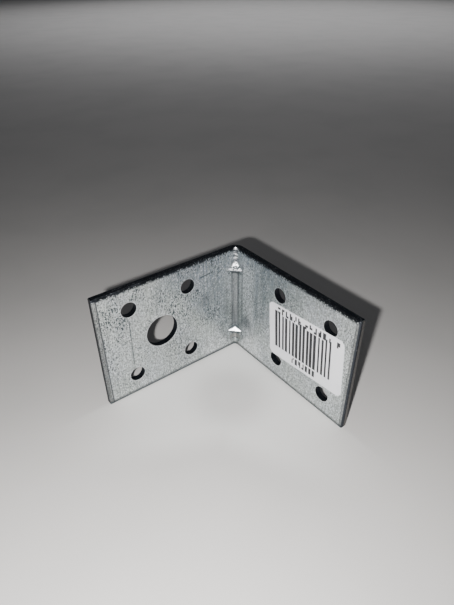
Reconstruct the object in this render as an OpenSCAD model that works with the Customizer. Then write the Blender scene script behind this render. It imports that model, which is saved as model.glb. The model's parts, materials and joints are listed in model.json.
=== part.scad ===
// Corner brace bracket: one strip of galvanised sheet that is punched, folded through a
// right angle and pressed inwards along the fold, with a paper label stuck on one leg.
//
// The fold stands along Z. The outer faces of the legs meet at the origin: leg one runs
// along +X with its outer face on y = 0, and leg two along +Y with its outer face on x = 0.
// The bracket rests on one long edge of the strip, at z = 0.

/* [Strip] */
// Thickness of the sheet
sheet_t = 2; // [1.5:0.1:3.5]
// Width of the strip, measured along the fold
strip_w = 40; // [36:1:80]
// Length of leg one, outside the corner
leg_one = 52.3; // [46:0.1:120]
// Length of leg two, outside the corner
leg_two = 53.1; // [50:0.1:120]
// Inside radius of the fold
fold_r = 1; // [0.5:0.1:1.8]
// Radius of the four corners of the strip
corner_r = 0.3; // [0.2:0.1:4]

/* [Sheared edges] */
// How far the slitting shear rounds the inner face off, along the long edges
slit_roll_w = 0.9; // [0.5:0.05:1.2]
// How deep that rounding goes at the long edges
slit_roll_d = 0.25; // [0.1:0.05:0.4]
// How far the cropping shear rounds the inner face off, at the ends of the strip
crop_roll_w = 1.3; // [0.8:0.1:2]
// How deep that rounding goes at the ends
crop_roll_d = 0.4; // [0.2:0.05:0.7]

/* [Holes] */
// Diameter of the eight nail or screw holes
nail_d = 5; // [3:0.5:6]
// Spacing of the nail holes along a leg
nail_pitch = 20.5; // [16:0.5:22]
// Spacing of the nail holes across the strip
nail_gauge = 25; // [18:0.5:28]
// From the outer face of leg two to the first nail holes of leg one
first_nail_one = 21.2; // [12:0.1:23]
// From the outer face of leg one to the first nail holes of leg two
first_nail_two = 23.6; // [12:0.1:25]
// Diameter of the bolt hole in the middle of leg one's nail holes
bolt_d = 11; // [6:0.5:13]

/* [Gusset] */
// From a long edge of the strip to where the gusset rises out of the fold
gusset_start = 4.3; // [3:0.1:5]
// From a long edge of the strip to the crest at each end of the gusset
gusset_crest = 7.5; // [6.5:0.1:10]
// How far each crest reaches along the legs, from the inside corner
crest_reach = 3.5; // [3.3:0.1:6]
// How deep the slope up to each crest is hollowed
end_hollow = 0.35; // [0.1:0.05:0.6]
// Slope from a crest down into the trough, in degrees from the fold
trough_slope = 44; // [30:1:60]
// Radius of the trough that runs between the crests
trough_r = 2; // [2:0.1:3.2]
// Thickness of the metal between the trough and the dent outside the fold
trough_wall = 1.6; // [1.2:0.05:1.9]

/* [Label] */
// Length of the label, along leg two
label_l = 30.5; // [15:0.5:31]
// Width of the label, across the strip
label_w = 19.7; // [10:0.1:30]
// Thickness of the paper and its glue
label_t = 0.1; // [0.08:0.01:0.3]
// Radius of the label's corners
label_r = 2; // [0.5:0.1:4]
// How far the label is stuck on askew, in degrees
label_tilt = 4.5; // [-6:0.5:6]
// From the end of leg two to the middle of the label
label_inset = 18; // [16.5:0.1:20]

/* [Hidden] */
$fn = 96;

// Outside radius of the fold
fold_out_r = fold_r + sheet_t;
// How far a cutting solid reaches past the metal that it cuts
spare = 1;
// How deep the gusset's solids are rooted in the sheet, measured square to a leg
root = sheet_t / 2;
// Room along each leg for a crest, which ends inside it
crest_space = crest_reach + spare;

// The gusset's side view is drawn in the plane that halves the corner. "reach" there is
// the distance from the inside corner, where the legs' inner faces would meet.
root_reach = -root * sqrt(2);
outer_reach = -(sheet_t + spare) * sqrt(2);
crest_top_reach = crest_reach / sqrt(2);
trough_reach = trough_r * (sqrt(2) - 1);
dent_reach = trough_reach - trough_wall;
// Rise along the fold for each millimetre of reach, on either side of a crest
end_rise = (gusset_crest - gusset_start) / crest_top_reach;
trough_rise = 1 / tan(trough_slope);
// The slope up to a crest, from the inside corner, and the circle that hollows it
end_slope = [crest_top_reach, gusset_crest - gusset_start];
end_r = (end_slope * end_slope / 4 + end_hollow ^ 2) / (2 * end_hollow);
end_middle = [0, gusset_start] + end_slope / 2;
end_outward = [end_slope.y, -end_slope.x] / norm(end_slope);

// Height on the slope from the lower crest down into the trough
function trough_height(reach) = gusset_crest + (crest_top_reach - reach) * trough_rise;

// Height on the slope at the gusset's lower end, and on the same slope moved out
// through the thickness of the sheet, where it ends the dent
function end_height(reach) = gusset_start + reach * end_rise;
function dent_height(reach) = end_height(reach) + sheet_t * norm([1, end_rise]);

// Waste outside a rounded corner. The corner is the origin, and what is being rounded
// lies towards +X and +Y.
module corner_waste(r, margin) {
    difference() {
        translate([-margin, -margin]) square(r + margin);
        translate([r, r]) circle(r);
    }
}

// Waste of a sheared edge that is rounded off. The edge is the origin: the face of the
// sheet runs up the Y axis, and the cut runs along -X.
module roll_waste(w, d) {
    r = (w * w + d * d) / (2 * d);
    difference() {
        translate([-d, -spare]) square([d + spare, w + spare]);
        translate([-r, w]) circle(r);
    }
}

// Section across the strip: X is the depth from its outer face, and Y runs along the fold.
module strip_section() {
    difference() {
        square([sheet_t, strip_w]);
        translate([sheet_t, 0]) roll_waste(slit_roll_w, slit_roll_d);
        translate([sheet_t, strip_w]) mirror([0, 1]) roll_waste(slit_roll_w, slit_roll_d);
    }
}

// What follows is written for a leg along +X. This gives leg two the same, along +Y.
module other_leg() {
    mirror([1, -1, 0]) children();
}

module leg(length) {
    translate([fold_out_r, 0, 0])
        rotate([90, 0, 90])
            linear_extrude(length - fold_out_r)
                strip_section();
}

module fold() {
    translate([fold_out_r, fold_out_r, 0])
        rotate([0, 0, 180])
            rotate_extrude(angle = 90)
                translate([fold_out_r, 0])
                    mirror([1, 0])
                        strip_section();
}

// Rounds the two corners at the end of a leg, and the edge between them.
module leg_end_waste(length) {
    for (far_side = [0, 1])
        translate([length, sheet_t + spare, far_side * strip_w])
            rotate([90, 0, 0])
                linear_extrude(sheet_t + 2 * spare)
                    mirror([1, 0])
                        mirror([0, far_side])
                            corner_waste(corner_r, spare);
    translate([length, sheet_t, -spare])
        rotate([0, 0, 90])
            linear_extrude(strip_w + 2 * spare)
                roll_waste(crop_roll_w, crop_roll_d);
}

module hole(x, z, d) {
    translate([x, -spare, z])
        rotate([-90, 0, 0])
            cylinder(d = d, h = sheet_t + 2 * spare);
}

module nail_holes(first) {
    for (row = [0, 1], side = [-1, 1])
        hole(first + row * nail_pitch, (strip_w + side * nail_gauge) / 2, nail_d);
}

module bolt_hole() {
    hole(first_nail_one + nail_pitch / 2, strip_w / 2, bolt_d);
}

// Turns a side view of the gusset, drawn as [reach, height], into a solid that runs
// square across the corner.
module across_corner() {
    translate([sheet_t, sheet_t, 0])
        rotate([90, 0, 45])
            linear_extrude(2 * (leg_one + leg_two), center = true)
                children();
}

// Part of the corner that a crest may fill, with its root in both legs
module corner_space() {
    translate([sheet_t - root, sheet_t - root, 0])
        cube([crest_space + root, crest_space + root, strip_w]);
}

// Crest at the lower end of the gusset. It rises out of the fold, and falls back on its
// other side into the trough.
module crest() {
    intersection() {
        corner_space();
        across_corner()
            difference() {
                polygon([
                    [root_reach, end_height(root_reach)],
                    [crest_top_reach + spare, trough_height(crest_top_reach + spare)],
                    [root_reach, trough_height(root_reach)],
                ]);
                translate(end_middle + end_outward * (end_r - end_hollow))
                    circle(end_r);
            }
    }
}

module trough() {
    translate([sheet_t, sheet_t, gusset_crest])
        linear_extrude(strip_w - 2 * gusset_crest)
            corner_waste(trough_r, root);
}

// Dent that the press leaves in the outside of the fold
module dent() {
    across_corner()
        polygon([
            [outer_reach, dent_height(outer_reach)],
            [dent_reach, dent_height(dent_reach)],
            [dent_reach, strip_w - dent_height(dent_reach)],
            [outer_reach, strip_w - dent_height(outer_reach)],
        ]);
}

module gusset() {
    trough();
    crest();
    translate([0, 0, strip_w]) mirror([0, 0, 1]) crest();
}

module bracket() {
    color("silver")
        difference() {
            union() {
                leg(leg_one);
                other_leg() leg(leg_two);
                fold();
                gusset();
            }
            dent();
            leg_end_waste(leg_one);
            other_leg() leg_end_waste(leg_two);
            nail_holes(first_nail_one);
            other_leg() nail_holes(first_nail_two);
            bolt_hole();
        }
}

module paper_label() {
    color("white")
        translate([sheet_t, leg_two - label_inset, strip_w / 2])
            rotate([90, 0, 90])
                linear_extrude(label_t)
                    rotate(label_tilt)
                        difference() {
                            square([label_l, label_w], center = true);
                            for (x = [0, 1], y = [0, 1])
                                mirror([x, 0])
                                    mirror([0, y])
                                        translate([-label_l / 2, -label_w / 2])
                                            corner_waste(label_r, spare);
                        }
}

bracket();
paper_label();
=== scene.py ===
# %% [markdown]
# # A galvanised corner brace, dressed in Blender
#
# The bracket and its paper label come from the CAD model as exact solids, so nothing here
# changes their shape. What this file adds is everything that a solid lacks: the crystalline
# zinc coat, the dark sheared edges, the marks of the press, the print on the label, and a
# floor, three lights and a camera to see them by.
#
# Everything is in metres, with the origin where the planes of the two outer faces meet. Only
# the finishes count in millimetres, since their marks are that small.

import json
import math

import bpy
from mathutils import Matrix, Vector


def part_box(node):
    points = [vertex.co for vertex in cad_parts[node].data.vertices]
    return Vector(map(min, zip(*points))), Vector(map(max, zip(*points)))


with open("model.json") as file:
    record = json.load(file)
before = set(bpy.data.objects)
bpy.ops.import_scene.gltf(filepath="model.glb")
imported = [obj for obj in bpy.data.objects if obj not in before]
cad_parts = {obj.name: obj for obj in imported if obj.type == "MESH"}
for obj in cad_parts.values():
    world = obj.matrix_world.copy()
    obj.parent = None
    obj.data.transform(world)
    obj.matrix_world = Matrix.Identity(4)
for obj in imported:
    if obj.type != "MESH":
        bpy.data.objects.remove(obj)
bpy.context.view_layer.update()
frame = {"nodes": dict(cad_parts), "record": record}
MM = 0.001

for name in frame["nodes"]:
    low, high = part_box(name)
    print(f"{name}: {[round(side / MM, 1) for side in high - low]} mm")

# %% [markdown]
# ## Camera
#
# The brace stands on one long edge, and is seen from above and in front of its inside
# corner. A small object seen from a hand's width away needs a real perspective: the camera
# stands close, with a short lens. An aim constraint would be simpler, but a hand-held
# camera also leans a little, so its heading, dip and lean are turned into one rotation.

# %% Camera
CAMERA_PLACE = (0.0888, 0.1114, 0.1151)
LENS, FILM_WIDTH = 29.08, 36
heading, dip, lean = (math.radians(angle) for angle in (232.802, 34.745, -0.399))

camera = bpy.data.objects.new("camera", bpy.data.cameras.new("camera"))
bpy.context.scene.collection.objects.link(camera)
camera.data.lens, camera.data.sensor_width = LENS, FILM_WIDTH
camera.data.clip_start = 5 * MM
camera.matrix_world = (
    Matrix.Translation(CAMERA_PLACE)
    @ Matrix.Rotation(heading - math.pi / 2, 4, "Z")
    @ Matrix.Rotation(math.pi / 2 - dip, 4, "X")
    @ Matrix.Rotation(lean, 4, "Z")
)
bpy.context.scene.camera = camera
print(f"camera {camera.location.length / MM:.0f} mm from the heel, lens {LENS} mm")

# %% [markdown]
# ## Floor
#
# The brace stands on a plain pale table. One flat face is enough for it, because its finish
# carries all the detail. It is far larger than the view, so that no edge of it shows.

# %% Floor
FLOOR_REACH = 3.0

floor_mesh = bpy.data.meshes.new("floor")
corners = [(x * FLOOR_REACH, y * FLOOR_REACH, 0) for x, y in ((-1, -1), (1, -1), (1, 1), (-1, 1))]
floor_mesh.from_pydata(corners, [], [range(4)])
floor = bpy.data.objects.new("floor", floor_mesh)
bpy.context.scene.collection.objects.link(floor)
print("floor", floor.dimensions[:])

# %% [markdown]
# ## Light
#
# A small lamp just beside the camera gives the short, clear shadow behind the brace and the
# white glints on the pressed fold. A soft panel high up in front keeps that shadow from
# going black. A wide one hangs over the far part of the table and keeps the background
# pale, and its narrow spread keeps its light out of the shadow. A dim sky fills the rest.
# One big panel overhead would be simpler, but it would lighten the sheared edges, which
# stay dark.

# %% Lamps
def lamp(name, place, target, size, power, tint, spread=180):
    light = bpy.data.lights.new(name, "AREA")
    light.shape = "DISK"
    light.size, light.energy, light.color = size, power, tint
    light.spread = math.radians(spread)
    made = bpy.data.objects.new(name, light)
    bpy.context.scene.collection.objects.link(made)
    made.location = place
    made.rotation_euler = (Vector(target) - Vector(place)).to_track_quat("-Z", "Y").to_euler()
    print(f"{name}: {power} W, {size / MM:.0f} mm across")


lamp(
    "key", place=(0.1034, 0.1091, 0.1108), target=(0.085, 0.085, 0),
    size=0.005, power=0.46, tint=(1, 0.99, 0.97),
)
lamp(
    "ceiling", place=(0.75, 0.85, 1.15), target=(0, 0, 0),
    size=0.8, power=0.8, tint=(0.98, 0.98, 1),
)
lamp(
    "far", place=(-0.95, -1.05, 0.6), target=(-0.95, -1.05, 0),
    size=1.6, power=4, tint=(0.97, 0.98, 1), spread=120,
)

# %% Sky
SKY_TINT, SKY_STRENGTH = (0.9, 0.94, 1, 1), 0.04

world = bpy.data.worlds.new("dim_sky")
bpy.context.scene.world = world
world.use_nodes = True
sky = world.node_tree.nodes["Background"].inputs
sky["Color"].default_value, sky["Strength"].default_value = SKY_TINT, SKY_STRENGTH
print(f"sky at {SKY_STRENGTH}")

# %% [markdown]
# ## Shader arithmetic in plain Python
#
# A finish is a web of nodes, and most of them only add, multiply or compare. Dragging such
# a web together is slow, and reading it is worse. A `Wire` stands for one output of a node,
# and arithmetic on it adds the Math nodes, so a mask reads like the sum that it is. A
# `Finish` is one material, and every other node comes from its `node` method.

# %% Wires
class Wire:
    """One output of a node. Arithmetic on it adds Math nodes to its finish."""

    def __init__(self, finish, socket):
        self.finish, self.socket = finish, socket

    def math(self, operation, *values):
        return self.finish.math(operation, self, *values)

    def __add__(self, other):
        return self.math("ADD", other)

    def __sub__(self, other):
        return self.math("SUBTRACT", other)

    def __mul__(self, other):
        return self.math("MULTIPLY", other)

    def __truediv__(self, other):
        return self.math("DIVIDE", other)

    def __rsub__(self, other):
        return self.finish.math("SUBTRACT", other, self)

    def __abs__(self):
        return self.math("ABSOLUTE")

    __radd__ = __add__
    __rmul__ = __mul__


print("a wire adds, subtracts, multiplies and divides")

# %% Finishes
class Finish:
    """One material. Its nodes come from `node`, which sets a node's settings first."""

    def __init__(self, name):
        self.material = bpy.data.materials.new(name)
        self.material.use_nodes = True
        self.tree = self.material.node_tree
        self.shader = self.tree.nodes["Principled BSDF"]

    def node(self, kind, settings=None, inputs=None, output=0):
        made = self.tree.nodes.new(kind)
        for setting, value in (settings or {}).items():
            setattr(made, setting, value)
        for socket, value in (inputs or {}).items():
            self.feed(made.inputs[socket], value)
        if isinstance(output, tuple):
            return [Wire(self, made.outputs[one]) for one in output]
        return Wire(self, made.outputs[output])

    def feed(self, socket, value):
        if isinstance(value, Wire):
            self.tree.links.new(value.socket, socket)
        else:
            socket.default_value = value

    def math(self, operation, *values):
        return self.node("ShaderNodeMath", {"operation": operation}, dict(enumerate(values)))


print("a finish makes every other node")

# %% [markdown]
# A few shapes come back in every mask: a smooth step from 0 to 1, a soft line, and the
# nearest or the strongest of several. A colour ramp could draw each of them by its stops,
# but a step between two lengths says in plain numbers where a mark begins and ends.

# %% Masks
def step(wire, low, high):
    """0 where the wire is below low, 1 where it is above high, and smooth between."""
    settings = {"interpolation_type": "SMOOTHSTEP"}
    return wire.finish.node(
        "ShaderNodeMapRange", settings, {"Value": wire, "From Min": low, "From Max": high}
    )


def line(wire, middle, half_width, softness):
    """1 along a soft line where the wire is near the middle value."""
    return 1 - step(abs(wire - middle), half_width, half_width + softness)


def nearest(first, *others):
    for other in others:
        first = first.math("MINIMUM", other)
    return first


def either(first, *others):
    for other in others:
        first = first.math("MAXIMUM", other)
    return first


def length(across, up):
    return (across * across + up * up).math("SQRT")


print("masks: step, line, nearest, either and length")

# %% [markdown]
# A Math node would turn a colour grey, so colours go through Mix nodes. They are laid on
# like coats of paint: each has a colour and an amount, and covers part of the ones below.

# %% Coats of colour
MIX_FACTOR, MIX_UNDER, MIX_OVER, MIX_RESULT = 0, 6, 7, 2


def paint(under, *coats):
    """Lay coats over a colour, in their order. A coat is a colour and an amount, 0 to 1."""
    for over, amount in coats:
        inputs = {
            MIX_FACTOR: amount,
            MIX_UNDER: under if isinstance(under, Wire) else (*under, 1),
            MIX_OVER: (*over, 1),
        }
        settings = {"data_type": "RGBA", "clamp_factor": True}
        under = amount.finish.node("ShaderNodeMix", settings, inputs, MIX_RESULT)
    return under


print("colours are laid on by Mix nodes")

# %% [markdown]
# Chance comes from two textures. Noise is drawn out along an axis by squeezing its
# coordinates along that axis, and its fourth dimension serves as a seed. Its peaks run
# together into worms, though, so lone marks are dots around scattered points instead.

# %% Noise and dots
DOT_SOFTNESS = 0.06


def noise(place, per_mm, seed, detail=2.0, roughness=0.5):
    """Noise with so many features per millimetre along x, y and z."""
    scaled = place.finish.node(
        "ShaderNodeVectorMath", {"operation": "MULTIPLY"}, {0: place, 1: per_mm}
    )
    inputs = {"Vector": scaled, "W": seed, "Scale": 1, "Detail": detail, "Roughness": roughness}
    return place.finish.node("ShaderNodeTexNoise", {"noise_dimensions": "4D"}, inputs)


def dots(place, per_mm, seed, radius):
    """Lone dots strewn by chance, drawn out along an axis in the same way as noise."""
    scaled = place.finish.node(
        "ShaderNodeVectorMath", {"operation": "MULTIPLY_ADD"},
        {0: place, 1: per_mm, 2: (seed, seed, seed)},
    )
    inputs = {"Vector": scaled, "Scale": 1}
    from_dot = place.finish.node("ShaderNodeTexVoronoi", {"voronoi_dimensions": "3D"}, inputs)
    return 1 - step(from_dot - radius, -DOT_SOFTNESS, DOT_SOFTNESS)


print("chance: noise and dots")

# %% [markdown]
# Every mask starts from the place of a point on the object. Texture coordinates made by
# unwrapping would stretch and break at the seams, whereas the object's own coordinates are
# the CAD model's, so a length on the bench is the same length here.

# %% Places in millimetres
def place_in_mm(finish):
    place = finish.node("ShaderNodeTexCoord", output="Object")
    return finish.node(
        "ShaderNodeVectorMath", {"operation": "SCALE"}, {0: place, "Scale": 1 / MM}
    )


def split(place):
    return place.finish.node("ShaderNodeSeparateXYZ", inputs={0: place}, output=("X", "Y", "Z"))


print(f"places are scaled by {1 / MM:.0f}")

# %% [markdown]
# ## Where a point lies on the bracket
#
# The zinc has to know its place: dark on the sheared edges, rubbed near the fold, clean on
# the open faces. Painting a mask by hand would work on one bracket only. Instead each
# mask is worked out from distances, and those come from the CAD model: its box, and the
# mounts that say where the holes are. Each leg lies along its own axis, so the distance
# to the nearest end is simply the smaller of two, and so is the depth in the sheet.

# %% Distances on the bracket
zinc = Finish("zinc_coat")
place = place_in_mm(zinc)
x, y, z = split(place)

_, box_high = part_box("bracket")
leg_one, leg_two, strip_width = box_high / MM
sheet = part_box("paper_label")[0].x / MM

from_fold = abs(x - y)
depth = nearest(x, y)
from_end = nearest(leg_one - x, leg_two - y)
from_side = nearest(z, strip_width - z)
print(f"legs {leg_one:.1f} and {leg_two:.1f}, strip {strip_width:.1f}, sheet {sheet:.1f} mm")

# %% Sides of the bracket
on_leg_two = step(y - x, -0.1, 0.1)
on_leg_one = 1 - on_leg_two
inner_face = step(depth, 0.8 * sheet, 0.92 * sheet)
upper_half = step(z, strip_width / 2, strip_width / 2 + 1)
lower_half = 1 - upper_half
print(f"inner face from a depth of {0.8 * sheet:.1f} mm, upper half from {strip_width / 2:.0f}")

# %% [markdown]
# The four nail holes of a leg mirror each other. Folding the plane twice, about the middle
# of the pattern and then about half its spacing, lays all four on one spot, and one
# distance then serves them all.

# %% Distance to the nearest hole's rim
mounts = {mount["name"]: mount for mount in frame["record"]["mounts"]}


def nail_rim(along, mount, axis):
    middle, dims = mount["pos_m"], mount["dims"]
    across = abs(along - middle[axis] / MM) - dims["spacing_x_mm"] / 2
    up = abs(z - middle[2] / MM) - dims["spacing_y_mm"] / 2
    return length(across, up) - dims["hole_r_mm"]


bolt_x, _, bolt_z = mounts["bolt_hole"]["pos_m"]
bolt_rim = length(x - bolt_x / MM, z - bolt_z / MM) - mounts["bolt_hole"]["dims"]["r_mm"]
from_rim = nearest(
    bolt_rim,
    nail_rim(x, mounts["nail_holes_one"], 0),
    nail_rim(y, mounts["nail_holes_two"], 1),
)
print(f"{len(mounts)} mounts, bolt hole at {bolt_x / MM:.1f}, {bolt_z / MM:.1f} mm")

# %% [markdown]
# ## The zinc coat
#
# Hot-dip zinc dulls to a pale blue-grey. Close to, it has a fine grain, paler and darker
# crystals, and hair-thin streaks that run across the strip, because the sheet was wiped
# that way as it left the bath. Broad, faint clouds change its tint. An image could show
# this for one face, but noise in the bracket's own space runs on around the fold and
# through the edges.

# %% Clouds, crystals, grain and streaks
clouds = noise(place, (0.1, 0.1, 0.07), seed=9.4, detail=3)
spangle = noise(place, (0.55, 0.55, 0.35), seed=4.1, roughness=0.6)
grain = noise(place, (2.0, 2.0, 1.2), seed=2.9, roughness=0.8)
streaks = noise(place, (1.4, 1.4, 0.05), seed=5.2, detail=3, roughness=0.6)
sparkles = step(noise(place, (2.4, 2.4, 1.4), seed=7.1, roughness=0.6), 0.56, 0.66)
hairs = step(noise(place, (2.8, 2.8, 0.12), seed=8.8, roughness=0.6), 0.5, 0.64)
print("6 layers of noise")

# %% [markdown]
# The coat is also covered with fine dark pits and short dashes, all of them lone dots. They
# grow and darken together in patches, and are fainter on leg two and near the lower edge.
# Dots spread evenly by hand would look like a pattern, where chance leaves bare places.

# %% Pits and dashes
crowded = step(noise(place, (0.16, 0.16, 0.12), seed=3.1), 0.38, 0.62)
fainter = (1 - 0.35 * on_leg_two) * (0.65 + 0.35 * step(z, 8, 20))
pits = dots(place, (1.5, 1.5, 1.3), seed=7.7, radius=0.19 + 0.15 * crowded)
dashes = dots(place, (1.6, 1.6, 0.55), seed=1.3, radius=0.16 + 0.15 * crowded)
fine_pits = dots(place, (2.3, 2.3, 1.7), seed=4.9, radius=0.26)
specks = either(pits, dashes, 0.6 * fine_pits) * (0.7 + 0.3 * crowded) * fainter
print("3 layers of dots, crowded by 1 of noise")

# %% [markdown]
# ## Marks of the press, with painted shade and highlights by the fold
#
# The fold was pressed inwards between two blocks. Beside it the metal carries painted shade,
# darker and bluer than the open faces, in a wedge that opens upwards, with a few pale streaks
# in it. Near the top of the legs, close to the fold, it carries more painted shade, and near
# the foot of the legs beside the fold a pale patch is a painted reflection of the bright
# table. These have no depth to speak of, so soft masks and drawn-out noise are enough for
# them, and they depend only on the distance from the fold and on the height.

# %% Painted shade in a wedge and up high, painted reflection low down
WEDGE_SLOPE, WEDGE_START = 1.04, 5.9

above_wedge_edge = WEDGE_SLOPE * z - WEDGE_START - from_fold
wedge = step(above_wedge_edge, -3, 3) * step(from_fold, 2, 6) * (1 - step(from_fold, 13, 23))
painted_shade_above = step(z, 26, 38) * (1 - step(from_fold, 22, 36))
painted_reflection_low = line(from_fold, 9, 2, 6) * (1 - step(z, 3, 13))
drawn = noise(place, (1.9, 1.9, 0.035), seed=2.6, detail=3, roughness=0.65)
print(f"the wedge's edge starts {WEDGE_START / WEDGE_SLOPE:.1f} mm above the lower edge")

# %% [markdown]
# Two grey spots lie beside the fold, one on each leg. The one on leg two is a painted shadow,
# cast by the lower crest; the fainter one on leg one is only a darker spot. A blurred spot is
# enough for them, as the grain shows through and breaks them up.

# %% A painted shadow and a dark spot beside the fold
def soft_spot(along, up, radius):
    return 1 - step(length(from_fold - along, z - up), radius / 3, radius)


shadow_and_spot_by_fold = either(
    soft_spot(along=6.0, up=13.0, radius=3.8) * on_leg_two,
    0.6 * soft_spot(along=12.5, up=24.5, radius=4) * on_leg_one,
)
print("2 smudges")

# %% [markdown]
# The gusset itself is a trough between two ramps, one at each end. The CAD model is one
# solid and names none of its faces, so each is found by its place: a ramp widens as it
# climbs from the gusset's end, and the trough keeps one width. The trough's middle carries
# streaked painted shade, and the outside of the fold is rubbed dark. On leg two a line of
# painted shadow runs along the trough, and beside it the leg carries painted sheen in pale
# streaks.

# %% Trough and ramps
GUSSET_START, CREST_REACH, RAMP = 4.3, 3.4, 3.2

up_the_ramp = nearest(z - GUSSET_START, strip_width - GUSSET_START - z)
in_gusset = step(up_the_ramp, -1, 2)
in_trough = (1 - step(from_fold, CREST_REACH - 0.4, CREST_REACH + 0.2)) * inner_face
from_ramp_edge = from_fold - CREST_REACH / RAMP * up_the_ramp
ramp = line(up_the_ramp, RAMP / 2, RAMP / 2, 0.2) * (1 - step(from_ramp_edge, 0, 0.4)) * inner_face

shaded_trough_middle = in_gusset * in_trough * (1 - ramp) * (1 - step(from_fold, 1.3, 2.3))
shadow_line_by_trough = line(from_fold, CREST_REACH + 0.1, 0.15, 0.5) * in_gusset * on_leg_two * inner_face
painted_sheen_beside_trough = line(from_fold, 6.4, 2.1, 1.8) * in_gusset * on_leg_two
outside_fold = in_gusset * (1 - inner_face) * (1 - step(from_fold, 1.2, 2.8))
print(f"trough to {CREST_REACH} mm from the fold, ramps {RAMP} mm long")

# %% [markdown]
# The upper ramp carries a painted highlight, and the relief tilts it a few degrees. It is
# dark at its mouth, where it rises out of the fold, and torn specks mar it, thickest near its
# crest. Along the crest runs a line of painted highlight, and past it come two lines of
# painted shade. The specks are peaks of noise, as they do run together here.

# %% The upper ramp
painted_glint_ramp = ramp * upper_half
torn = noise(place, (1.9, 1.9, 1.9), seed=3.9, roughness=0.6)
torn_specks = painted_glint_ramp * either(
    line(up_the_ramp, 2.4, 0.25, 0.2) * step(torn, 0.42, 0.5),
    step(torn, 0.55, 0.62),
)
dark_mouth = painted_glint_ramp * (1 - step(up_the_ramp, 0.5, 1.3)) * step(torn, 0.35, 0.45)
crest_glint_line = line(up_the_ramp, RAMP - 0.1, 0.15, 0.25) * in_trough * upper_half
shade_below_crest = in_trough * upper_half * either(
    line(up_the_ramp, RAMP + 0.4, 0.12, 0.15),
    line(up_the_ramp, RAMP + 1.4, 0.2, 0.4),
)
print(f"upper crest at {strip_width - GUSSET_START - RAMP:.1f} mm")

# %% [markdown]
# Between that ramp and the top edge, the bare fold carries dark and bright rungs, painted
# reflections in its inner curve, and right at the edge a painted highlight.

# %% Neck above the ramp
neck_start = strip_width - GUSSET_START
neck = (1 - step(from_fold, 0.8, 1.5)) * step(z, neck_start, neck_start + 0.3) * inner_face
rungs = step(noise(place, (0.4, 0.4, 1.5), seed=7.3), 0.47, 0.55)
painted_glint_top = (1 - step(from_fold, 0.8, 1.2)) * step(z, strip_width - 0.9, strip_width - 0.7)
print(f"neck from {neck_start:.1f} mm up")

# %% [markdown]
# The lower crest catches the light on its far side, where it falls back into the trough: a
# bright hill that comes to a point over the fold, with a dark arch above it and a fainter
# one above that. The slope rises about as far as it falls back into the corner, and this
# tells the points on it from those of the trough beside it.

# %% The hill behind the lower crest
HILL_SLOPE, HILL_POINT = 1.04, 0.36

hill_height = z - GUSSET_START - RAMP
into_corner = CREST_REACH / math.sqrt(2) - (x + y - 2 * sheet) / math.sqrt(2)
hill_top = hill_height + HILL_POINT * from_fold
lower_trough = lower_half * in_trough

on_slope = step(HILL_SLOPE * into_corner - hill_height, -0.3, -0.1)
hill = lower_trough * on_slope * step(hill_height, -0.05, 0.1) * (1 - step(hill_top, 1.15, 1.4))
hill_arch = lower_trough * step(hill_height, 0, 0.2) * either(
    line(hill_top, 1.7, 0.2, 0.15),
    0.6 * line(hill_top, 2.8, 0.15, 0.2),
)
print(f"lower crest at {GUSSET_START + RAMP:.1f} mm")

# %% [markdown]
# Below that crest the ramp faces down, away from the light. On it and on the fold beneath lie
# a band of painted shade, a brown band below it that is a painted reflection of the table,
# and a short dark line below that.

# %% Painted shade and reflection under the lower crest
lower_inside = lower_half * inner_face
short_line = line(up_the_ramp, -1, 0.15, 0.25) * (1 - step(from_fold, 1.2, 2.2))
dark_band = line(up_the_ramp, 2.1, 1.1, 0.15) * ramp
under_hill = lower_inside * either(dark_band, 0.7 * short_line)
reflected_table_band = lower_inside * line(up_the_ramp, 0, 0.7, 0.3) * (1 - step(from_fold, 2.2, 3.2))
print(f"grease around {GUSSET_START} mm up")

# %% [markdown]
# ## Sheared edges and punched holes
#
# Shearing tears through the coat. The long edges, the ends and the walls of the holes are
# bare steel, nearly black. At the end of leg two the blade first cut a smooth grey band,
# and then the metal tore. A plain distance to each cut, with a skin a few hundredths of a
# millimetre deep, paints the cut alone.

# %% Cuts through the coat
CUT_SKIN = 0.05

end_cut = 1 - step(from_end, CUT_SKIN / 2, CUT_SKIN)
side_cut = 1 - step(from_side, CUT_SKIN / 2, CUT_SKIN)
hole_wall = 1 - step(from_rim, CUT_SKIN / 2, CUT_SKIN)
bare_steel = either(end_cut, side_cut, hole_wall)
smooth_band = end_cut * (1 - step(depth, 0.4 * sheet, 0.5 * sheet)) * on_leg_two
print(f"cuts to {CUT_SKIN} mm under the surface")

# %% [markdown]
# Next to each edge the inner face is rolled off in a narrow strip, which the CAD model has
# too. Along the top this strip is ragged and nearly black: painted shade. Along the table it
# is grey with a dark line: painted shade where it meets the table. At the ends it is finely
# lined, where a thin line also parts it from the flat. Each hole has a narrow bright rim.

# %% Rolled strips
END_ROLL, SIDE_ROLL, TOP_ROLL = 1.3, 0.9, 1.2

rolled_face = step(depth, 0.6 * sheet, 0.75 * sheet)
end_roll = END_ROLL - 0.25 * on_leg_two
end_strip = (1 - step(from_end - end_roll, -0.1, 0.1)) * rolled_face
end_grain = noise(place, (4, 4, 0.06), seed=3.8)
end_line = line(from_end - end_roll, 0, 0.05, 0.25) * rolled_face * (1 - 0.6 * on_leg_two)
end_edge = (1 - step(from_end, 0.3, 0.5)) * rolled_face * on_leg_two

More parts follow.
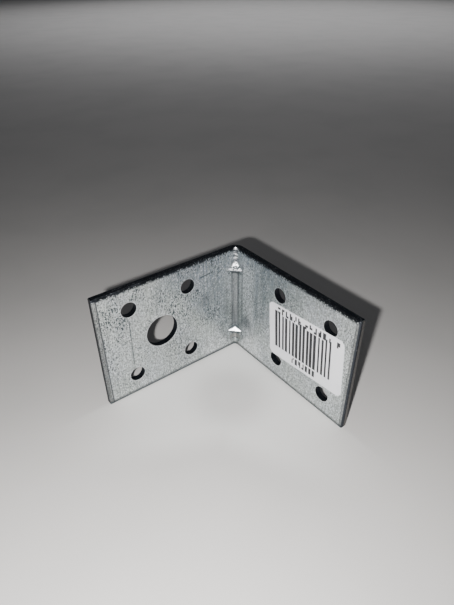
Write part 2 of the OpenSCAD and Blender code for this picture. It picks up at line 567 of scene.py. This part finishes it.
ragged = 0.9 * (noise(place, (0.7, 0.7, 0.7), seed=6.6, detail=4, roughness=0.7) - 0.5)
from_top = strip_width - z + ragged
shaded_top_roll = (1 - step(from_top, TOP_ROLL - 0.5, TOP_ROLL + 0.3)) * rolled_face
shaded_low_roll = (1 - step(z + 0.5 * ragged, SIDE_ROLL + 0.2, SIDE_ROLL + 0.8)) * rolled_face
contact_shade_line = (1 - step(z, SIDE_ROLL - 0.2, SIDE_ROLL + 0.1)) * rolled_face
rim = line(from_rim, 0.14, 0.06, 0.12) * inner_face
print(f"strips {END_ROLL} mm wide at the ends, {SIDE_ROLL} and {TOP_ROLL} mm along the sides")

# %% [markdown]
# The shears drag crumbs of zinc over the cuts and leave a row of them along the top edge.

# %% Crumbs of zinc
crumbs = step(noise(place, (2.4, 2.4, 2.4), seed=4.4, detail=3, roughness=0.7), 0.56, 0.66)
top_crumbs = line(strip_width - z, 0.2, 0.06, 0.15) * rolled_face * crumbs
lone_crumbs = dots(place, (1.5, 1.5, 1.8), seed=6.2, radius=0.34)
row_of_crumbs = lone_crumbs * line(from_top, TOP_ROLL - 0.45, 0.15, 0.2) * rolled_face
print("crumbs on the cuts and along the top")

# %% [markdown]
# ## Handling marks
#
# A few marks make the difference between a sample and a thing from a bin: a fine upright
# scratch between two nail holes, a short row of nicks near the fold, and one dark dent.
# Each scratch is a line segment, drawn as the distance to it in the plane of leg one.

# %% Scratches on leg one
DENT_X, DENT_Z = 24.7, 27.3


def scratch(start, end, half_width):
    """A thin mark between two points of leg one, given as x and z in millimetres."""
    (x0, z0), (x1, z1) = start, end
    run = math.dist(start, end)
    ahead = ((x - x0) * (x1 - x0) + (z - z0) * (z1 - z0)) / run
    aside = abs((x - x0) * (z1 - z0) - (z - z0) * (x1 - x0)) / run
    inside = step(ahead, 0, 0.3) * (1 - step(ahead, run - 0.3, run))
    return (1 - step(aside, half_width, 3 * half_width)) * inside * on_leg_one


upright = scratch((42.1, 28.5), (42.3, 11.5), half_width=0.07)
nicks = scratch((16.5, 33.7), (11.2, 34.2), half_width=0.12) * step(drawn, 0.3, 0.45)
dent = on_leg_one * (1 - step(length(x - DENT_X, z - DENT_Z), 0.15, 0.5))
scratches = either(0.85 * upright, 0.9 * nicks, 0.9 * dent) * inner_face
print("2 scratches and a dent")

# %% [markdown]
# ## Putting the zinc together
#
# The masks meet in four places: the colour, how metallic it is, how rough, and the relief.
# The colour comes first. It is built up like paint, from the broad tints to the fine marks,
# so the order of the coats matters as much as their colours do.

# %% Tints of the zinc
PALE_GREEN, PALE_BLUE, SHADE_BLUE = (0.68, 0.725, 0.71), (0.64, 0.68, 0.73), (0.22, 0.275, 0.34)
GLINT = (0.95, 0.97, 1.0)

colour = paint(
    PALE_GREEN,
    (PALE_BLUE, step(clouds, 0.35, 0.65)),
    # Painted shade in the wedge beside the fold.
    (SHADE_BLUE, 0.75 * wedge),
    # Painted shade near the top of the legs, close to the fold.
    (SHADE_BLUE, 0.7 * painted_shade_above),
    # A painted reflection of the bright table, low beside the fold.
    (GLINT, 0.9 * painted_reflection_low),
    # Painted sheen in pale streaks beside the trough on leg two.
    (GLINT, painted_sheen_beside_trough * step(drawn, 0.25, 0.45)),
    (GLINT, 0.5 * wedge * step(drawn, 0.45, 0.6)),
)
print("tints: clouds, wedge and wiped streaks")

# %% Texture of the zinc
WIPED, GRAIN_GREY = (0.78, 0.82, 0.84), (0.31, 0.34, 0.34)
SHADE_AND_RUB_GREY, PIT_AND_SHADE_GREY = (0.15, 0.165, 0.18), (0.07, 0.09, 0.10)

colour = paint(
    colour,
    (WIPED, (0.4 + 0.25 * on_leg_two) * step(streaks, 0.5, 0.68)),
    (WIPED, 0.5 * step(spangle, 0.5, 0.62)),
    (GRAIN_GREY, 0.3 * (1 - step(spangle, 0.36, 0.48))),
    (GRAIN_GREY, either(step(grain, 0.46, 0.6), 0.7 * hairs)),
    (GLINT, 0.9 * sparkles),
    # A painted shadow cast by the lower crest on leg two, and a dark spot on leg one.
    (SHADE_AND_RUB_GREY, 0.6 * shadow_and_spot_by_fold),
    (PIT_AND_SHADE_GREY, specks),
)
print("texture: streaks, crystals, grain, smudges and pits")

# %% [markdown]
# Next come the marks on the gusset: the shaded trough and the rubbed outside of the fold
# first, then the painted highlights of the two crests and the neck, and the painted shade and
# reflection under the lower crest last. The scratches cross whatever lies there, so they
# follow.

# %% Marks of the press and of handling, with painted shade and highlights
REFLECTED_TABLE = (0.42, 0.39, 0.36)

colour = paint(
    colour,
    # Painted shade in the trough's middle, streaked.
    (SHADE_AND_RUB_GREY, shaded_trough_middle * (0.6 + 0.4 * step(drawn, 0.42, 0.58))),
    (SHADE_AND_RUB_GREY, 0.5 * outside_fold * step(drawn, 0.42, 0.58)),
    # Painted highlights on the upper ramp, along its crest and on the hill.
    (GLINT, either(painted_glint_ramp, crest_glint_line, hill)),
    # Two lines of painted shade below the upper crest.
    (PIT_AND_SHADE_GREY, 0.7 * shade_below_crest * step(grain, 0.35, 0.5)),
    (PIT_AND_SHADE_GREY, torn_specks),
    (SHADE_AND_RUB_GREY, 0.95 * dark_mouth),
    # Painted reflections in the fold's inner curve: dark and bright rungs.
    (SHADE_AND_RUB_GREY, 0.9 * neck * (1 - rungs)),
    (GLINT, neck * rungs),
    # A painted reflection of the table, brown, below the lower crest.
    (REFLECTED_TABLE, 0.6 * reflected_table_band),
    # Painted shade under the lower crest, and the dark arches over the hill.
    (PIT_AND_SHADE_GREY, 0.9 * either(under_hill, hill_arch)),
    # A line of painted shadow along the trough on leg two.
    (PIT_AND_SHADE_GREY, 0.45 * shadow_line_by_trough),
    (PIT_AND_SHADE_GREY, scratches),
)
print("marks: trough, two crests, neck and scratches")

# %% [markdown]
# The edges go on last, because the shears cut through everything else: first the rolled
# strips with their lines, then the bare steel of the cuts, and the crumbs on top of it.

# %% Edges
STRIP_AND_SHADE_GREY, STEEL_AND_SHADE_BLACK = (0.12, 0.125, 0.125), (0.03, 0.035, 0.045)
SMOOTH_STEEL, CRUMB = (0.16, 0.155, 0.15), (0.42, 0.45, 0.47)

colour = paint(
    colour,
    (STRIP_AND_SHADE_GREY, end_strip * (0.45 + 0.35 * step(end_grain, 0.3, 0.6))),
    (GLINT, 0.35 * rim),
    # Painted shade where the legs meet the table: a grey roll and a dark line.
    (STRIP_AND_SHADE_GREY, 0.7 * shaded_low_roll),
    (PIT_AND_SHADE_GREY, 0.92 * contact_shade_line),
    (STEEL_AND_SHADE_BLACK, either(0.8 * end_line, end_edge)),
    # Painted shade on the rolled strip along the top.
    (STEEL_AND_SHADE_BLACK, 0.95 * shaded_top_roll),
    (CRUMB, 0.7 * top_crumbs),
    (WIPED, 0.7 * row_of_crumbs),
    # A painted highlight where the top edge meets the fold.
    (GLINT, painted_glint_top),
    (STEEL_AND_SHADE_BLACK, bare_steel),
    (SMOOTH_STEEL, smooth_band),
    (CRUMB, 0.5 * crumbs * either(side_cut, end_cut * 0.6)),
)
zinc.feed(zinc.shader.inputs["Base Color"], colour)
print("edges: strips, cuts and crumbs")

# %% [markdown]
# Zinc is metal all over, a little less so in its dirty pits. The pressed ramps are slightly
# rougher than the open faces, which spreads their glints, and torn steel is rougher still.
# A dark colour alone doesn't darken what shines, so the dark marks on the crests and edges
# are also made dull: less metallic, and rough.

# %% Metal and roughness
ZINC_ROUGHNESS = 0.31

dull = either(torn_specks, 0.9 * hill_arch, 0.9 * under_hill, 0.9 * end_edge)
dull = either(dull, 0.4 * end_line, 0.5 * contact_shade_line)
rough = ZINC_ROUGHNESS + 0.15 * (clouds - 0.5) + 0.12 * ramp - 0.06 * painted_glint_ramp
rough = rough + 0.2 * specks + 0.2 * bare_steel + 0.4 * dull
zinc.feed(zinc.shader.inputs["Metallic"], 1 - 0.3 * specks - 0.6 * dull)
zinc.feed(zinc.shader.inputs["Roughness"], rough)
print(f"roughness {ZINC_ROUGHNESS} on the open faces")

# %% [markdown]
# The relief of pits, streaks and scratches is real, but too small to model, so it catches
# the light through a Bump node. The same node tilts the upper ramp and the hill by a few
# degrees, as the press left them a little rounder than their plain CAD shapes. The upper
# ramp has two such facets, one above the other.

# %% Relief of the zinc
RAMP_TILT, HILL_TILT, RELIEF_DEPTH = -5.0, 2.0, 0.05
FACET = RAMP / 2

up_the_facet = (up_the_ramp / FACET).math("FRACT") * FACET
ripple = noise(place, (1.1, 1.1, 0.6), seed=6.1, detail=3, roughness=0.6)
relief = 0.55 * ripple + 0.25 * streaks - 0.35 * specks - 0.4 * scratches
relief = relief + 0.35 * drawn * in_trough + HILL_TILT * hill * hill_height
relief = relief + painted_glint_ramp * (RAMP_TILT * up_the_facet + 4.0 * torn)
zinc_bump = zinc.node(
    "ShaderNodeBump", inputs={"Height": relief, "Distance": RELIEF_DEPTH * MM, "Strength": 1}
)
zinc.feed(zinc.shader.inputs["Normal"], zinc_bump)
print(f"relief {RELIEF_DEPTH} mm deep")

# %% Dress the bracket
def dress(node_name, finish):
    slots = frame["nodes"][node_name].data.materials
    slots.clear()
    slots.append(finish.material)
    print(f"{node_name}: {finish.material.name}, {len(finish.tree.nodes)} nodes")


dress("bracket", zinc)

# %% [markdown]
# ## The label
#
# A white paper sticker, put on a little askew by hand, with a field of black bars, a row of
# figures above them and a code below. The CAD model has the paper with its tilt, so only
# the print is made here. It is turned by the same tilt, to stay square to the paper.

# %% Where a point lies on the label
TILT = math.radians(4.5)

paper = Finish("label_paper")
label_place = place_in_mm(paper)
_, label_y, label_z = split(label_place)

label_low, label_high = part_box("paper_label")
label_middle = (label_low + label_high) / 2 / MM
off_y, off_z = label_y - label_middle.y, label_z - label_middle.z
along = off_y * math.cos(TILT) + off_z * math.sin(TILT)
up = off_z * math.cos(TILT) - off_y * math.sin(TILT)
print(f"label's middle at y {label_middle.y:.1f}, z {label_middle.z:.1f} mm")

# %% [markdown]
# The bars are printed by chance: the field is cut into cells, and each cell draws its own
# bar's place and width, so they have the rhythm of such a label and stand for nothing. An
# image of bars would have to mean something, or repeat.

# %% Cells of the bars' field
BARS_START, BARS_END, BARS_LOW, BARS_HIGH, CELL = -12.8, 11.2, -6.1, 6.6, 1.5

from_start = along - BARS_START
cell = (from_start / CELL).math("FLOOR")
in_cell = from_start / CELL - cell


def chance(dimensions, **steps):
    """A number from 0 to 1, drawn anew for each place that is given in whole steps."""
    vector = paper.node("ShaderNodeCombineXYZ", inputs=steps)
    settings = {"noise_dimensions": dimensions}
    return paper.node("ShaderNodeTexWhiteNoise", settings, {"Vector": vector})


bar_half = 0.2 + 0.18 * chance("2D", X=cell, Y=4.0)
bar_middle = 0.42 + 0.16 * chance("2D", X=cell, Y=9.0)
bars = 1 - step(abs(in_cell - bar_middle), bar_half, bar_half + 0.03)
print(f"{(BARS_END - BARS_START) / CELL:.0f} cells of bars")

# %% [markdown]
# The field ends crisply at its sides, while the bars' own ends are a little soft, since the
# printer heats one row of dots at a time. Near the field's two ends and its middle the bars
# reach a little further, as such bars often do.

# %% Ends of the bars
CRISP, SOFT = 0.05, 0.15
LONGER_BY = 0.9

from_long_bar = nearest(
    abs(from_start - CELL),
    abs(along - (BARS_START + BARS_END) / 2),
    abs(along - BARS_END + CELL),
)
bars_top = BARS_HIGH + LONGER_BY * (1 - step(from_long_bar, CELL, CELL + 0.1))
in_field = (
    step(along, BARS_START, BARS_START + CRISP) * (1 - step(along, BARS_END, BARS_END + CRISP))
    * step(up, BARS_LOW, BARS_LOW + SOFT) * (1 - step(up - bars_top, 0, SOFT))
)
print(f"bars {BARS_HIGH - BARS_LOW:.1f} mm high, and {LONGER_BY} mm more in three places")

# %% [markdown]
# Where such a label has its rows of figures, this one has rows of square dots. Each mark is
# two dots wide and three high, and chance fills them, so they have the weight of print
# without saying anything.

# %% Rows of dots
DOT_ROWS, DOT_COLUMNS = 3, 3
MARK_SHARE, BLANK_SHARE, EDGE = 0.6, 0.2, 0.02


def row_of_marks(first, last, low, high, pitch, seed):
    """Marks between two places along the label, each of 2 columns of dots and a blank one."""
    column = ((along - first) / pitch * DOT_COLUMNS).math("FLOOR")
    row = ((up - low) / ((high - low) / DOT_ROWS)).math("FLOOR")
    filled = step(chance("3D", X=column, Y=row, Z=seed), BLANK_SHARE, BLANK_SHARE + 0.01)
    gap = step((column / DOT_COLUMNS).math("FRACT"), MARK_SHARE, MARK_SHARE + 0.01)
    inside = step(along, first, first + EDGE) * (1 - step(along, last - EDGE, last))
    inside = inside * step(up, low, low + EDGE) * (1 - step(up, high - EDGE, high))
    return filled * inside * (1 - gap)


marks = either(
    row_of_marks(first=-11.3, last=-0.8, low=6.9, high=9.2, pitch=1.75, seed=1.0),
    row_of_marks(first=0.4, last=10.9, low=6.9, high=9.2, pitch=1.75, seed=5.0),
    row_of_marks(first=12.6, last=13.9, low=6.7, high=8.7, pitch=1.75, seed=8.0),
    row_of_marks(first=-5.0, last=5.2, low=-8.8, high=-6.5, pitch=1.46, seed=3.0),
)
ink = either(bars * in_field, marks)
print(f"4 rows of marks, 2 x {DOT_ROWS} dots each")

# %% [markdown]
# The paper is smooth and white, with faint fibres and a few smudges from handling, and the
# print on it is a little glossier. Both lie in one plane on the real label too, so there is
# no relief between them, and one finish carries both.

# %% Colour and relief of the paper
WHITE, SOILED, INK = (0.94, 0.94, 0.985), (0.87, 0.87, 0.915), (0.012, 0.012, 0.016)

fibres = noise(label_place, (1.5, 1.5, 1.5), seed=8.2, detail=4, roughness=0.7)
soiling = noise(label_place, (0.14, 0.14, 0.14), seed=1.9)
paper_colour = paint(
    WHITE,
    (SOILED, step(soiling, 0.45, 0.75)),
    (INK, ink * (0.95 + 0.1 * fibres)),
)
paper_bump = paper.node(
    "ShaderNodeBump", inputs={"Height": fibres + 0.3 * soiling, "Distance": 0.01 * MM}
)
paper.feed(paper.shader.inputs["Base Color"], paper_colour)
paper.feed(paper.shader.inputs["Roughness"], 0.5 + 0.15 * fibres - 0.1 * ink)
paper.feed(paper.shader.inputs["Normal"], paper_bump)
dress("paper_label", paper)

# %% [markdown]
# ## Finish of the floor
#
# A matt table top in a warm grey, with the faintest unevenness, so that it doesn't look
# like an empty background. The bright legs throw a patch of light on it, with a dull spot
# in the middle where the bolt hole and the label throw none back. A renderer finds such
# light slowly and leaves it grainy, so the finish carries it.

# %% Light that the legs throw
NARROWING = 0.48
FADE_FROM, FADE_TO = 0.9 * strip_width, 1.9 * strip_width
DULL_X, DULL_Y = 20, 22

table = Finish("pale_table")
table_place = place_in_mm(table)
table_x, table_y, _ = split(table_place)


def glow_from(leg, along, away):
    """Light that a leg throws on the table, from its foot outwards and ever narrower."""
    inside = step(leg - NARROWING * away - along, -4, 9) * step(along, 0, 2) * step(away, 0, 2)
    return inside * (1 - step(away, FADE_FROM, FADE_TO))


glow = either(glow_from(leg_one, table_x, table_y), glow_from(leg_two, table_y, table_x))
dull_spot = 1 - step(length(table_x - DULL_X, table_y - DULL_Y), 5, 17)
print(f"the light fades out {FADE_TO:.0f} mm from the legs")

# %% Colour of the table
WARM_GREY, DEEPER_GREY, LIT = (0.70, 0.68, 0.667), (0.66, 0.645, 0.632), (0.95, 0.94, 0.92)

unevenness = noise(table_place, (0.02, 0.02, 0.02), seed=2.2, detail=3)
table_colour = paint(
    WARM_GREY,
    (DEEPER_GREY, step(unevenness, 0.4, 0.7)),
    (LIT, 0.7 * glow * (1 - 0.75 * dull_spot)),
)
table.feed(table.shader.inputs["Base Color"], table_colour)
table.feed(table.shader.inputs["Roughness"], 0.6)
floor_mesh.materials.append(table.material)
print(f"floor: {table.material.name}, {len(table.tree.nodes)} nodes")
